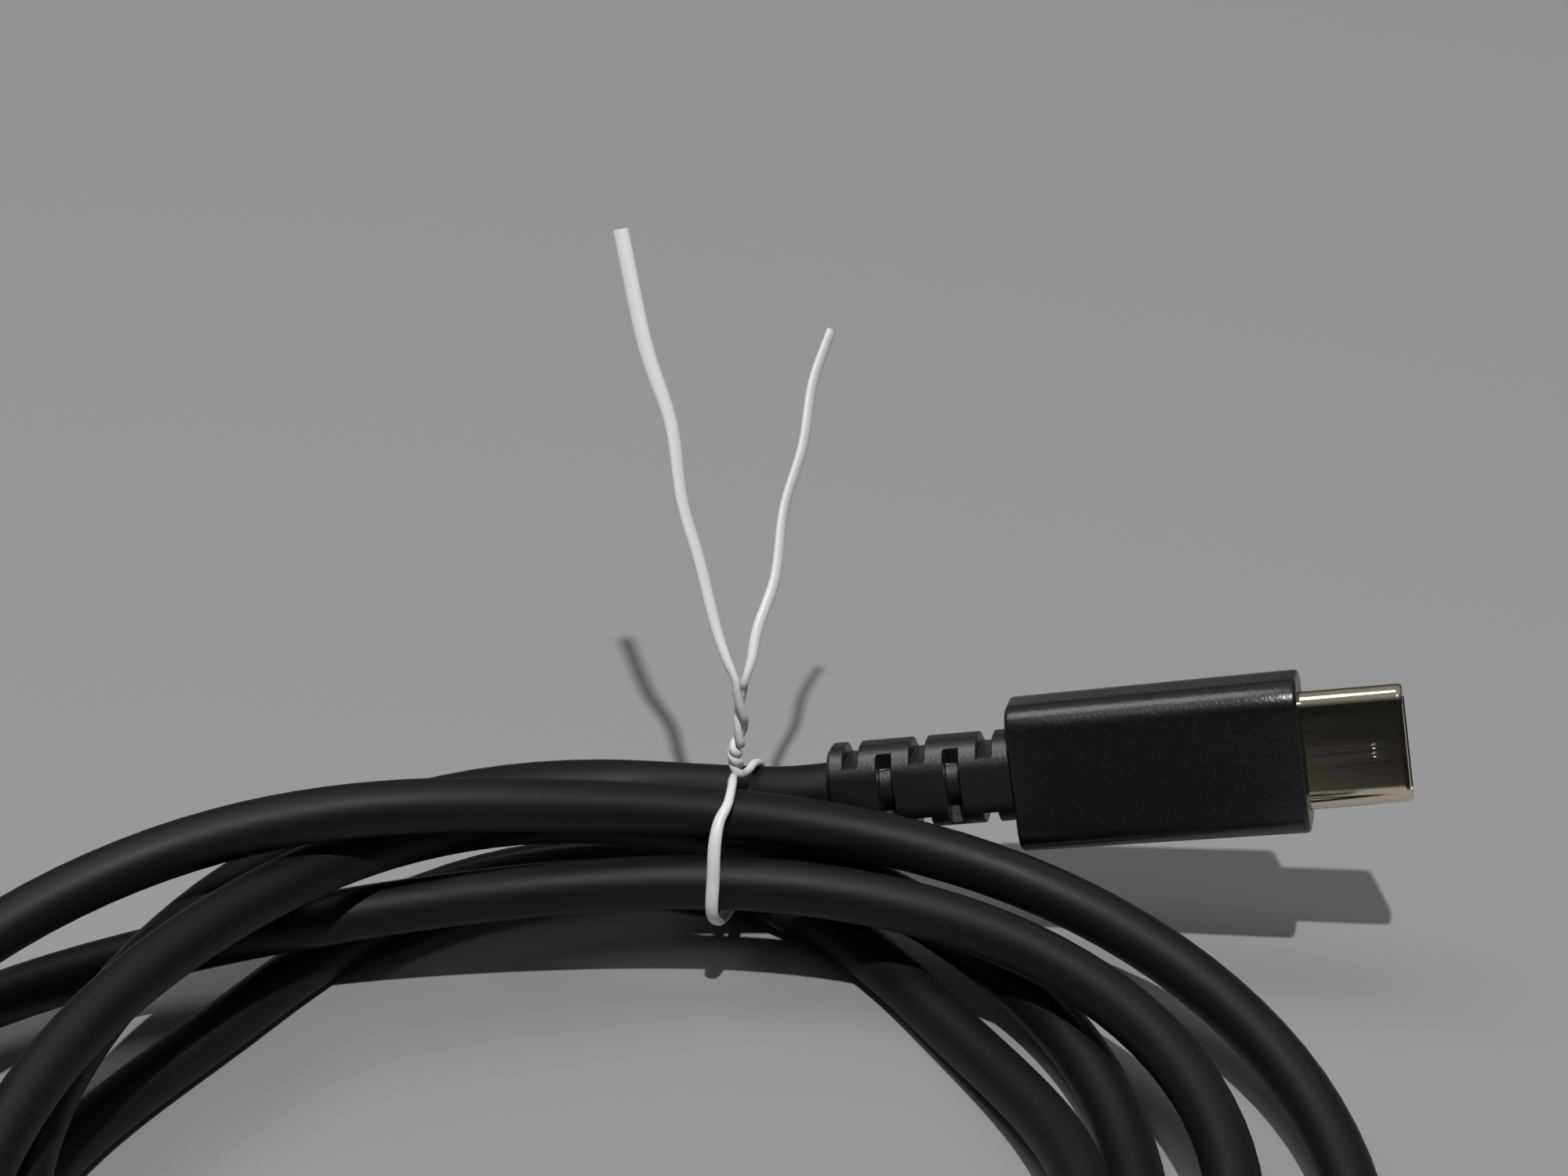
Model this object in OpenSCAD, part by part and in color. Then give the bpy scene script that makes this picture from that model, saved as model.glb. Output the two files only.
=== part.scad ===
// Charging cable, coiled and held by a twist tie: a USB-C plug at one end, a USB-A plug at the other.
// Millimetres. The cable lies on z = 0, and the origin is the middle of the part's box at that floor.

/* [Cable] */
// Diameter of the cable's jacket
cable_d = 3.7; // [3.5:0.05:3.85]
// Diameter of each insulated wire
wire_d = 0.84; // [0.7:0.02:0.88]
// Depth of the flat on which the coil rests
rest_cut = 0.37; // [0.3:0.01:0.45]

/* [Coil] */
// Number of turns
coil_turns = 4.38; // [4.3:0.01:4.4]
// Width of the loops over their depth
coil_stretch = 1.15; // [1.1:0.01:1.2]

/* [USB-C plug] */
// Length of the moulded body
c_body_len = 20; // [19:0.5:24]
// Width of the body at its front
c_body_w = 10.85; // [10.3:0.05:12]
// Thickness of the body at its front
c_body_t = 5.75; // [5.6:0.05:7]
// How much narrower the body is at its back
c_body_taper = 0.45; // [0:0.05:0.6]
// Radius of the body's long edges
c_body_r = 1.5; // [0.8:0.1:2]
// Width of the metal shell
c_shell_w = 8.34; // [8.2:0.01:8.4]
// Thickness of the metal shell
c_shell_t = 2.4; // [2.38:0.01:2.5]
// Thickness of the shell's wall
c_shell_wall = 0.25; // [0.2:0.01:0.26]
// How far the shell stands out of the body
c_shell_out = 6.95; // [6.5:0.05:7.1]

/* [USB-A plug] */
// Length of the moulded body
a_body_len = 22; // [20:0.5:26]
// Width of the body
a_body_w = 16; // [15:0.1:17]
// Thickness of the body
a_body_t = 8; // [7.6:0.1:8.4]
// Radius of the body's long edges
a_body_r = 1.8; // [1:0.1:2.5]
// Width of the metal shell
a_shell_w = 12; // [11.8:0.05:12.2]
// Thickness of the metal shell
a_shell_t = 4.5; // [4.4:0.02:4.6]
// Thickness of the shell's wall
a_shell_wall = 0.3; // [0.25:0.01:0.35]
// How far the shell stands out of the body
a_shell_out = 12; // [11.5:0.25:13]

/* [Strain reliefs] */
// Length of each relief
relief_len = 12.8; // [12:0.1:14]
// Width across the relief's top and bottom notches
relief_w = 6.2; // [6:0.1:6.6]
// Thickness across the relief's face slots
relief_t = 5.1; // [5:0.05:5.3]
// Width of one slot along the cable
slot_w = 1.05; // [0.9:0.05:1.3]
// Depth of a slot
slot_depth = 0.85; // [0.6:0.05:0.9]
// Number of slots along the relief
slots = 5; // [3:1:5]

/* [Twist tie] */
// Width of the tie's plastic jacket
tie_w = 0.85; // [0.75:0.05:0.95]
// Thickness of the jacket
tie_t = 0.65; // [0.6:0.05:0.8]
// Diameter of the steel wire inside
tie_core_d = 0.32; // [0.28:0.02:0.36]

/* [Hidden] */
$fn = 48;
snug = 0.02;            // clearance of one fixed piece in another
past = 1;               // how far a cutting shape runs past the face it cuts
play = 0.1;             // between two pieces that follow each other along a plug
flat_left = 0.02;       // least flat left between two round edges

// The loops. Each row is one loop, seen from above and read anticlockwise from the far side: the
// reach of the cable from the coil's centre in eight directions, and its height over the floor.
coil_centre = [2.4, -0.8];
loop_reach = [
    [40.5, 39, 30, 30, 31.5, 27.5, 29, 28],
    [25.5, 43, 25.5, 32, 35, 34.5, 32.5, 30],
    [34, 34.5, 26, 29, 40, 40, 36.5, 36.5],
    [32, 24.5, 31.5, 52.5, 55, 49, 42.5, 44],
    [39, 25, 29.5, 44.5, 48.5, 44, 42.5, 41]];
loop_height = [
    [3.5, 10, 11, 5.5, 4, 1.5, 4, 5],
    [1, 3.5, 1, 2, 1.5, 1.5, 1.5, 1],
    [3.5, 10.5, 12.5, 11.5, 4.5, 1.5, 1.5, 6.5],
    [8.5, 9, 5, 3.5, 1.5, 1.5, 1.5, 1.5],
    [8.5, 14.5, 17.5, 9, 3, 1.5, 2, 2]];
directions = 8;
rings_per_loop = 24;
coil_sides = 6;
lead_sides = 8;
floor_reach = 100;       // half the width of the cut that flattens the coil's underside

// Plug places: where the cable leaves each strain relief, and how the plug is turned.
c_exit = [18.97, 34, 10.5];
c_turn = [73.2, -10.7, -7.6];
a_exit = [-4.6, -44.3, 8.7];

// Stations along the USB-C plug, from the strain relief's end at x = 0 to the tip
c_back = relief_len;
c_front = c_back + c_body_len;
c_tip = c_front + c_shell_out;
c_body_end_r = 0.7;                      // radius of the body's corners, seen on a face
can_edge_r = 0.6;                        // radius of a shield can's long edges
can_seam = 0.2;                          // gap where the can's folded sheet meets itself
c_can_side = 0.25;                       // how far the can reaches beyond the shell's side
c_can_w = c_shell_w + 2 * c_can_side;
c_can_t = 4.1;
c_can_wall = 0.2;
c_can_back = 3.6;                        // from the body's back to the can
c_can_front = 2.2;                       // from the can to the body's front
c_can_x = [c_back + c_can_back, c_front - c_can_front];
c_card_back = 5.7;                       // from the can's back to the card
c_card_front = 4.1;                      // from the card to the body's front
c_card_x = [c_can_x[0] + c_card_back, c_front - c_card_front];
c_card_w = 7.2;
c_card_t = 0.6;
c_card_notch_d = 0.9;
c_block_recess = 0.9;                    // of the insulator's front in the shell's mouth
c_block_x = [c_card_x[1] + 2 * play, c_tip - c_block_recess];   // the insulator
c_slot_back = 2.6;                       // solid back of the insulator, behind its slot
c_slot_x = c_block_x[0] + c_slot_back;
c_slot_w = 6.8;
c_slot_t = 0.8;
c_shell_back = c_block_x[0] - play;
c_solder_len = 1.8;                      // length of each wire's end on the card
c_wire_end = c_card_x[0] + c_solder_len;
c_wire_y = 1.7;                          // of each wire's end from the plug's middle
crimp_len = 2.3;
crimp_wall = 0.4;
c_crimp_x = c_can_x[0] - play - crimp_len;
contact_pitch = 0.5;
middle_place = 6.5;                      // of the twelve places in a row of contacts
contact_w = 0.25;
contact_t = 0.15;
contact_gap = 0.025;                     // play of a contact in its groove
contact_tail = 1.3;                      // length of a contact's tail on the card
contact_bend = 0.1;                      // from the card's end to where the tail bends up
nose_x = 2.2;                            // from the insulator's front to the middle of a contact's nose
nose_flat = 0.3;                         // half the nose's flat
nose_back = 1.2;                         // from the nose's middle to where it starts to bend
nose_front = 0.8;                        // from the nose's middle to the contact's end
groove_front = 1.2;                      // from the insulator's front to the grooves' end
spring_w = 5.2;                          // the ground springs
spring_t = 0.12;
spring_len = 1.55;
spring_lip = 0.1;                        // how far a spring stands out of the insulator
spring_root = 0.45;                      // length of a spring behind its slits
spring_slit = 0.24;
spring_gap = 0.03;                       // clearance under and behind a spring
latch_t = 0.2;                           // the latch spring's sheet
latch_h = 0.6;
latch_back = 0.5;                        // from the insulator's back to the latch
latch_front = 1.5;                       // from the latch's end to the insulator's front
latch_bar = 0.5;                         // length of the plate across the back
latch_hook = 0.35;                       // how far a hook comes in
latch_hook_x = [1.8, 1.1, 0.7];          // where the hook bends, back from the arm's end
latch_gap = 0.05;
resistor_size = [0.5, 1, 0.3];
resistor_cap = 0.2;
resistor_cap_out = 0.02;                 // how far its caps stand proud
dot_back = 2.2;                          // the two dimples in the shell, from its tip
dot_y = 0.3;
dot_d = 0.4;
dot_depth = 0.08;

// Stations along the USB-A plug
a_back = relief_len;
a_front = a_back + a_body_len;
a_tip = a_front + a_shell_out;
a_body_end_r = 0.9;                      // radius of the body's corners, seen on a face
a_can_back = 5;                          // from the body's back to the can
a_can_front = 3;                         // from the can to the body's front
a_can_x = [a_back + a_can_back, a_front - a_can_front];
a_can_side = 0.5;                        // how far the can reaches beyond the shell
a_can_w = a_shell_w + 2 * a_can_side;
a_can_t = a_shell_t + 2 * a_can_side;
a_can_wall = 0.25;
a_shell_in = 5.5;                        // length of the shell inside the body
a_shell_r = 0.5;                         // radius of the shell's long edges
a_tongue_recess = 1.4;                   // of the tongue's front in the shell's mouth
a_block_x = [a_front - a_shell_in, a_tip - a_tongue_recess];
a_block_len = 4.5;                       // the tongue's solid back
a_tongue_t = 1.9;
a_window = [2.2, 2.4];                   // the shell's windows
a_window_back = 6.4;                     // from the tip to a window's middle
a_window_y = 2.9;
a_contact_w = 1;
a_contact_t = 0.2;
a_contact_y = [-3.5, -1, 1, 3.5];
a_contact_tail = 2.4;                    // length of a contact behind the tongue
a_contact_short = [1, 2];                // from the tongue's front to a contact's end, outer and inner
a_corner = 0.3;                          // cut along the tongue's lower edges
a_crimp_x = a_can_x[0] - play - crimp_len;
a_solder_len = 1.2;                      // length of a contact's tail on its wire
a_wire_end = a_block_x[0] - a_solder_len;
a_wire_share = 0.6;                      // how far the wires fan out, over the contacts' spread
mould_len = 5;
wire_spread = 0.8;                       // of each wire from the cable's axis, sideways and up

// ---------------------------------------------------------------- vectors and swept tubes
function unit(v) = v / norm(v);
function bspline(row, u) = let (i = floor(u), f = u - i)
    ((1 - f)^3 * row[i] + (3 * f^3 - 6 * f^2 + 4) * row[i + 1]
    + (3 * f + 3 * f^2 - 3 * f^3 + 1) * row[i + 2] + f^3 * row[i + 3]) / 6;

// Points on a smooth curve through the given ones, with a number of steps from each to the next. The
// curve can be told which point comes before it or after it, where it goes on from another curve.
function smooth(p, steps, before, after) = let (n = len(p),
    q = concat([is_undef(before) ? 2 * p[0] - p[1] : before], p,
        [is_undef(after) ? 2 * p[n - 1] - p[n - 2] : after]))
    concat([for (i = [1:n - 1], s = [0:steps - 1]) let (f = s / steps)
        (2 * q[i] + (q[i + 1] - q[i - 1]) * f
        + (2 * q[i - 1] - 5 * q[i] + 4 * q[i + 1] - q[i + 2]) * f^2
        + (3 * q[i] - q[i - 1] - 3 * q[i + 1] + q[i + 2]) * f^3) / 2], [p[n - 1]]);

function heading(p, i) = unit(p[min(i + 1, len(p) - 1)] - p[max(i - 1, 0)]);

// One sideways direction per point, carried along the curve without twisting
function carried(p, side, i = 0) = i == len(p) ? [] :
    let (t = heading(p, i), s = unit(side - (side * t) * t)) concat([s], carried(p, s, i + 1));

// A ring of points round p[i], half_w to the side and half_t across it
function ring(p, i, side, sides, half_w, half_t) = let (t = heading(p, i), up = cross(t, side))
    [for (k = [0:sides - 1]) let (a = 360 * (k + 0.5) / sides)
        p[i] + half_w * cos(a) * side + half_t * sin(a) * up];

// A closed tube along p
module tube(p, sides, half_w, half_t, side) {
    s = carried(p, side);
    n = len(p);
    points = [for (i = [0:n - 1]) each ring(p, i, s[i], sides, half_w, half_t)];
    walls = [for (i = [0:n - 2], k = [0:sides - 1]) let (a = i * sides + k, b = i * sides + (k + 1) % sides)
        each [[a, a + sides, b], [b, a + sides, b + sides]]];
    first = [for (k = [1:sides - 2]) [0, k, k + 1]];
    last = [for (k = [1:sides - 2]) let (z = (n - 1) * sides) [z, z + k + 1, z + k]];
    polyhedron(points, concat(walls, first, last));
}

// A tube with a bore of its own along p
module hollow_tube(p, sides, half_w, half_t, bore_r, side) {
    s = carried(p, side);
    n = len(p);
    m = 2 * sides;
    points = [for (i = [0:n - 1]) each concat(ring(p, i, s[i], sides, half_w, half_t),
        ring(p, i, s[i], sides, bore_r, bore_r))];
    walls = [for (i = [0:n - 2], k = [0:sides - 1])
        let (a = i * m + k, b = i * m + (k + 1) % sides, c = a + sides, d = b + sides)
        each [[a, a + m, b], [b, a + m, b + m], [c, d, c + m], [d, d + m, c + m]]];
    z = (n - 1) * m;
    ends = [for (k = [0:sides - 1]) let (a = k, b = (k + 1) % sides)
        each [[a, b, a + sides], [b, b + sides, a + sides],
              [z + a, z + a + sides, z + b], [z + b, z + a + sides, z + b + sides]]];
    polyhedron(points, concat(walls, ends));
}

// ---------------------------------------------------------------- the cable's route
reach = [for (row = loop_reach) each row];
height = [for (row = loop_height) each row];

// The centre of the cable after a number of turns from the far side
function coil_point(turn) = let (r = bspline(reach, directions * turn), a = 90 + 360 * turn)
    [coil_centre[0] + coil_stretch * r * cos(a), coil_centre[1] + r * sin(a),
     max(bspline(height, directions * turn), cable_d / 2) - rest_cut];
function coil_heading(turn) = unit(coil_point(turn + 0.001) - coil_point(turn - 0.001));

coil_in = coil_point(0) - cable_d * unit(coil_point(0.001) - coil_point(0));
coil_out = coil_point(coil_turns) + cable_d * coil_heading(coil_turns);
coil_rings = round(coil_turns * rings_per_loop);
coil_route = concat([coil_in], [for (i = [0:coil_rings]) coil_point(coil_turns * i / coil_rings)], [coil_out]);

// Least gap of the coil to itself, from points two millimetres or so apart
gap_steps = round(coil_turns * 90);
gap_points = [for (i = [0:gap_steps]) coil_point(coil_turns * i / gap_steps)];
least_gap = min([for (i = [0:gap_steps], j = [i + 36:gap_steps]) norm(gap_points[i] - gap_points[j])]) - cable_d;
echo("least gap of the coil to itself", least_gap);

// The way the USB-C plug points, worked out from its turn
c_axis = [cos(c_turn[1]) * cos(c_turn[2]), cos(c_turn[1]) * sin(c_turn[2]), -sin(c_turn[1])];

lead_c_points = [c_exit, c_exit - cable_d * c_axis, [11.3, 35.55, 9.2], coil_in];
lead_a_points = [coil_out, [-27, -40.4, 3.4], [-20.4, -43, 4.6], [-13.6, -44.1, 7.1],
    a_exit - [cable_d, 0, 0], a_exit];

// The twist tie: down one leg and one strand of the twist, behind the cable and round it, and back up
tie_leg_1 = [[4.1, 51.8, 45.1], [5.8, 47.1, 38.6], [7.6, 44, 34.2], [8.4, 40.8, 29.8], [9.6, 38.4, 26.4],
    [10.7, 35.8, 22.8], [11.5, 34.3, 20.9]];
tie_leg_2 = [[13.15, 34.3, 20.9], [13.6, 35.9, 22.6], [14.8, 38.6, 25], [15.4, 42, 28.5], [16.7, 45, 31.7],
    [17.4, 48.1, 35], [18.7, 50.7, 37.8]];
tie_loop = [[12.9, 34.3, 12.3], [13.5, 35.8, 12], [13.8, 37.2, 10.8], [13.6, 38.6, 9], [13, 38.6, 6.9],
    [12.4, 36.6, 5.3], [12.3, 32.6, 5], [11.9, 28.6, 5], [11, 25.4, 5.4], [10.5, 23.5, 7.5], [10.6, 24, 10],
    [10.7, 24.9, 12.1], [11, 26, 13.3], [11.6, 27.2, 14], [11.9, 29.7, 14.2], [11.7, 31.4, 12.7]];
knot_low = [12.2, 33, 12.5];
knot_high = [12.45, 33.6, 19.8];
knot_r = 0.48;
knot_turns = 2.5;
knot_steps = 10;

// One strand of the twist from its low end to its high end, the low end on the side that phase gives
function knot_strand(phase) = [for (i = [0:knot_steps]) let (f = i / knot_steps, a = phase - 360 * knot_turns * f)
    knot_low + f * (knot_high - knot_low) + knot_r * [cos(a), sin(a), 0]];
function reversed(p) = [for (i = [len(p) - 1:-1:0]) p[i]];
tie_route = smooth(concat(tie_leg_1, reversed(knot_strand(0)), tie_loop, knot_strand(180), tie_leg_2), 2);

module cable_coil() {
    color([0.05, 0.05, 0.055]) difference() {
        tube(coil_route, coil_sides, cable_d / 2, cable_d / 2, [0, 0, 1]);
        block([-floor_reach, -floor_reach, -2 * past], [floor_reach, floor_reach, 0]);
    }
}
module cable_lead_usb_c() {
    color([0.05, 0.05, 0.055]) tube(smooth(lead_c_points, 2, after = coil_point(0)), lead_sides, cable_d / 2, cable_d / 2, [0, 0, 1]);
}
module cable_lead_usb_a() {
    color([0.05, 0.05, 0.055])
        tube(smooth(lead_a_points, 2, before = coil_point(coil_turns)), lead_sides, cable_d / 2, cable_d / 2, [0, 0, 1]);
}
module twist_tie_jacket() {
    color([0.93, 0.93, 0.92])
        hollow_tube(tie_route, 6, tie_w / 2, tie_t / 2, tie_core_d / 2 + snug, [1, 0, 0]);
}
module twist_tie_core() {
    color([0.6, 0.6, 0.62]) tube(tie_route, 6, tie_core_d / 2, tie_core_d / 2, [1, 0, 0]);
}

// ---------------------------------------------------------------- shapes shared by the plugs
// A flat rectangle with round corners, w along x and t along y
module round_rect(w, t, r) {
    square([w - 2 * r, t], center = true);
    square([w, t - 2 * r], center = true);
    for (x = [-1, 1], y = [-1, 1]) translate([x * (w / 2 - r), y * (t / 2 - r)]) circle(r);
}
// A bar from x0 to x1, w across y and t across z, with round long edges
module bar(x0, x1, w, t, r) {
    translate([x0, 0, 0]) rotate([90, 0, 90]) linear_extrude(x1 - x0) round_rect(w, t, r);
}
// A block between two corners
module block(low, high) {
    translate(low) cube(high - low);
}
// A round rod along x
module rod(x0, x1, d) {
    translate([x0, 0, 0]) rotate([0, 90, 0]) cylinder(h = x1 - x0, d = d);
}
// A round rod from one point to another
module rod_between(from, to, d) {
    v = to - from;
    translate(from) rotate([0, acos(v[2] / norm(v)), atan2(v[1], v[0])]) cylinder(h = norm(v), d = d);
}
// Outline of a body seen on one face: round corners, narrower at the back by taper
function corner(c, r, from) = [for (k = [0:6]) c + r * [cos(from + 15 * k), sin(from + 15 * k)]];
module body_outline(x0, x1, w, taper, r) {
    b = w / 2 - taper / 2 - r;
    f = w / 2 - r;
    polygon(concat(corner([x1 - r, f], r, 0), corner([x0 + r, b], r, 90),
        corner([x0 + r, -b], r, 180), corner([x1 - r, -f], r, 270)));
}
// A moulded body: its outlines from above and from the side, and its section along the cable
module moulded_body(x0, x1, w, t, taper, r, end_r) {
    intersection() {
        translate([0, 0, -t]) linear_extrude(2 * t) body_outline(x0, x1, w, taper, end_r);
        rotate([90, 0, 0]) translate([0, 0, -w]) linear_extrude(2 * w) body_outline(x0, x1, t, taper / 2, end_r);
        bar(x0 - past, x1 + past, w, t, r);
    }
}
slot_margins = 0.45;                     // uncut length at the two ends, in pitches beyond one per slot
first_slot = 0.72;                       // middle of the first slot, in pitches
relief_round = 0.42;                     // radius of the sleeve's edges over its thickness
window_web = 0.9;                        // a face window stops this far from the sleeve's edges
web_t = 3.4;                             // thickness of the webs beside a face window

// A strain relief: a soft sleeve, slotted in turn across its edges and its faces so that it bends
module strain_relief() {
    pitch = relief_len / (slots + slot_margins);
    difference() {
        bar(0, relief_len, relief_w, relief_t, relief_t * relief_round);
        rod(-past, relief_len + past, cable_d);
        for (i = [0:slots - 1]) translate([pitch * (i + first_slot) - slot_w / 2, 0, 0])
            for (s = [0, 1])
                if (i % 2 == 0) {
                    mirror([0, s, 0]) block([0, relief_w / 2 - slot_depth, -relief_t], [slot_w, relief_w, relief_t]);
                } else {
                    mirror([0, 0, s]) block([0, -relief_w, web_t / 2], [slot_w, relief_w, relief_t]);
                    mirror([0, 0, s]) block([0, window_web - relief_w / 2, -snug],
                        [slot_w, relief_w / 2 - window_web, relief_t]);
                }
    }
}
// A shield can: a folded sheet tube with a seam along its underside
module shield_can(x, w, t, wall) {
    difference() {
        bar(x[0], x[1], w, t, can_edge_r);
        bar(x[0] - past, x[1] + past, w - 2 * wall, t - 2 * wall, can_edge_r - wall);
        block([x[0] - past, -can_seam / 2, -t], [x[1] + past, can_seam / 2, -t / 2 + wall + snug]);
    }
}
module crimp_ring(x) {
    difference() {
        rod(x, x + crimp_len, cable_d + 2 * crimp_wall);
        rod(x - past, x + crimp_len + past, cable_d);
    }
}
// The four wires, from the jacket's end to a row of ends; grow widens them to cut their bores
module wires(x0, ends, grow = 0) {
    for (e = ends) {
        y = e[1] > 0 ? wire_spread : -wire_spread;
        z = e[2] > 0 ? wire_spread : -wire_spread;
        rod_between([x0, y, z], e, wire_d + grow);
    }
}

// ---------------------------------------------------------------- USB-C plug, laid along x
c_upper = [1, 4, 5, 6, 7, 9, 12];
c_lower = [1, 4, 9, 12];
c_wire_z = c_card_t / 2 + wire_d / 2 + snug;
c_wire_ends = [for (y = [-1, 1], z = [-1, 1]) [c_wire_end, c_wire_y * y, c_wire_z * z]];
c_jacket_end = c_crimp_x + crimp_len;
contact_z = c_slot_t / 2;
tail_x = c_card_x[1] - contact_tail;

module in_c_plug() {
    translate(c_exit) rotate(c_turn) children();
}
// A contact: a tail on the card, a beam along its groove and a nose bent into the slot
module c_contact(place) {
    y = (place - middle_place) * contact_pitch;
    nose = c_block_x[1] - nose_x;
    z = contact_z;
    translate([0, y + contact_w / 2, 0]) rotate([90, 0, 0]) linear_extrude(contact_w) polygon([
        [tail_x, c_card_t / 2], [c_card_x[1] - contact_bend, c_card_t / 2], [c_block_x[0] + 2 * contact_bend, z],
        [nose - nose_back, z], [nose - nose_flat, z - contact_t], [nose + nose_flat, z - contact_t],
        [nose + nose_front, z], [nose + nose_front, z + contact_t], [c_block_x[0], z + contact_t],
        [tail_x, z + contact_t]]);
}
module c_contact_groove(place) {
    y = (place - middle_place) * contact_pitch;
    w = contact_w + 2 * contact_gap;
    block([c_block_x[0] - past, y - w / 2, contact_z - contact_gap],
        [c_block_x[1] - groove_front, y + w / 2, contact_z + contact_t + contact_gap]);
    block([c_block_x[0] - past, y - w / 2, c_card_t / 2 - contact_gap],
        [c_block_x[0] + 3 * contact_bend, y + w / 2, contact_z + contact_t]);
}
module usb_c_shell() {
    color([0.80, 0.72, 0.58]) in_c_plug() difference() {
        bar(c_shell_back, c_tip, c_shell_w, c_shell_t, (c_shell_t - flat_left) / 2);
        bar(c_shell_back - past, c_tip + past, c_shell_w - 2 * c_shell_wall, c_shell_t - 2 * c_shell_wall,
            (c_shell_t - flat_left) / 2 - c_shell_wall);
        for (s = [-1, 1], y = [-dot_y, dot_y]) translate([c_tip - dot_back, y, s * c_shell_t / 2])
            cylinder(h = 2 * dot_depth, d = dot_d, center = true);
    }
}
module usb_c_insulator() {
    w = c_shell_w - 2 * c_shell_wall - 2 * snug;
    t = c_shell_t - 2 * c_shell_wall - 2 * snug;
    color([0.08, 0.08, 0.08]) in_c_plug() difference() {
        bar(c_block_x[0], c_block_x[1], w, t, (t - flat_left) / 2);
        block([c_slot_x, -c_slot_w / 2, -c_slot_t / 2], [c_tip, c_slot_w / 2, c_slot_t / 2]);
        for (p = c_upper) c_contact_groove(p);
        for (p = c_lower) mirror([0, 0, 1]) c_contact_groove(p);
        latch_spring(latch_gap);
        for (s = [0, 1]) mirror([0, 0, s])
            block([c_block_x[1] - spring_len - spring_gap, -spring_w / 2 - spring_gap, t / 2 - spring_t - spring_gap],
                [c_tip, spring_w / 2 + spring_gap, t]);
    }
}
module usb_c_contacts_upper() {
    color([0.83, 0.68, 0.35]) in_c_plug() for (p = c_upper) c_contact(p);
}
module usb_c_contacts_lower() {
    color([0.83, 0.68, 0.35]) in_c_plug() mirror([0, 0, 1]) for (p = c_lower) c_contact(p);
}
// The latch: a plate across the back with an arm down each side, hooked inwards near its end
module latch_spring(grow = 0) {
    x0 = c_block_x[0] + latch_back;
    x1 = c_block_x[1] - latch_front;
    y = c_slot_w / 2 + play;
    z = latch_h / 2 + grow;
    block([x0 - grow, -y, -latch_t / 2 - grow], [x0 + latch_bar + grow, y, latch_t / 2 + grow]);
    for (s = [0, 1]) mirror([0, s, 0]) {
        translate([0, 0, -z]) linear_extrude(2 * z) polygon([[x0 - grow, y - grow],
            [x1 - latch_hook_x[0], y - grow], [x1 - latch_hook_x[1], y - latch_hook],
            [x1 - latch_hook_x[2], y - latch_hook], [x1 + grow, y - grow],
            [x1 + grow, y + latch_t + grow], [x0 - grow, y + latch_t + grow]]);
        if (grow > 0) block([x0 - grow, y, -z], [x1 + grow, c_shell_w / 2, z]);
    }
}
module usb_c_latch_spring() {
    color([0.70, 0.70, 0.72]) in_c_plug() latch_spring();
}
module usb_c_ground_springs() {
    z = c_shell_t / 2 - c_shell_wall;
    color([0.75, 0.72, 0.62]) in_c_plug() for (s = [0, 1]) mirror([0, 0, s]) difference() {
        block([c_block_x[1] - spring_len, -spring_w / 2, z - snug - spring_t],
            [c_block_x[1] + spring_lip, spring_w / 2, z - snug]);
        for (i = [-3:2:3]) block([c_block_x[1] - spring_len + spring_root, (i * spring_w / 5 - spring_slit) / 2, 0],
            [c_tip, (i * spring_w / 5 + spring_slit) / 2, z]);
    }
}
module usb_c_card() {
    color([0.10, 0.30, 0.16]) in_c_plug() difference() {
        block([c_card_x[0], -c_card_w / 2, -c_card_t / 2], [c_card_x[1], c_card_w / 2, c_card_t / 2]);
        for (s = [-1, 1]) translate([(c_wire_end + tail_x) / 2, s * c_card_w / 2, -past])
            cylinder(h = 2 * past, d = c_card_notch_d);
    }
}
module usb_c_resistor() {
    l = resistor_size[0] / 2;
    w = resistor_size[1] / 2;
    h = resistor_size[2];
    color([0.12, 0.12, 0.14]) in_c_plug() translate([(c_wire_end + tail_x) / 2, 0, c_card_t / 2]) {
        block([-l, -w, 0], [l, w, h]);
        for (s = [0, 1]) mirror([0, s, 0])
            block([-l - resistor_cap_out, w - resistor_cap, 0], [l + resistor_cap_out, w, h + resistor_cap_out]);
    }
}
module usb_c_shield_can() {
    color([0.72, 0.73, 0.75]) in_c_plug() shield_can(c_can_x, c_can_w, c_can_t, c_can_wall);
}
module usb_c_inner_mould() {
    color([0.85, 0.85, 0.82]) in_c_plug() difference() {
        bar(c_can_x[0], c_can_x[0] + mould_len, c_can_w - 2 * c_can_wall, c_can_t - 2 * c_can_wall,
            can_edge_r - c_can_wall);
        wires(c_jacket_end, c_wire_ends, 2 * snug);
    }
}
module usb_c_wires() {
    color([0.65, 0.12, 0.10]) in_c_plug() wires(c_jacket_end, c_wire_ends);
}
module usb_c_crimp_ring() {
    color([0.72, 0.66, 0.50]) in_c_plug() crimp_ring(c_crimp_x);
}
module usb_c_jacket_end() {
    color([0.05, 0.05, 0.055]) in_c_plug() rod(0, c_jacket_end, cable_d);
}
module usb_c_body() {
    color([0.09, 0.09, 0.10]) in_c_plug() difference() {
        moulded_body(c_back, c_front, c_body_w, c_body_t, c_body_taper, c_body_r, c_body_end_r);
        bar(c_can_x[0], c_can_x[1], c_can_w, c_can_t, can_edge_r);
        rod(c_crimp_x, c_can_x[0] + snug, cable_d + 2 * crimp_wall);
        rod(c_back - past, c_crimp_x + snug, cable_d);
        bar(c_can_x[1] - past, c_front + past, c_shell_w, c_shell_t, (c_shell_t - flat_left) / 2);
    }
}
module usb_c_strain_relief() {
    color([0.08, 0.08, 0.09]) in_c_plug() strain_relief();
}

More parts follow.
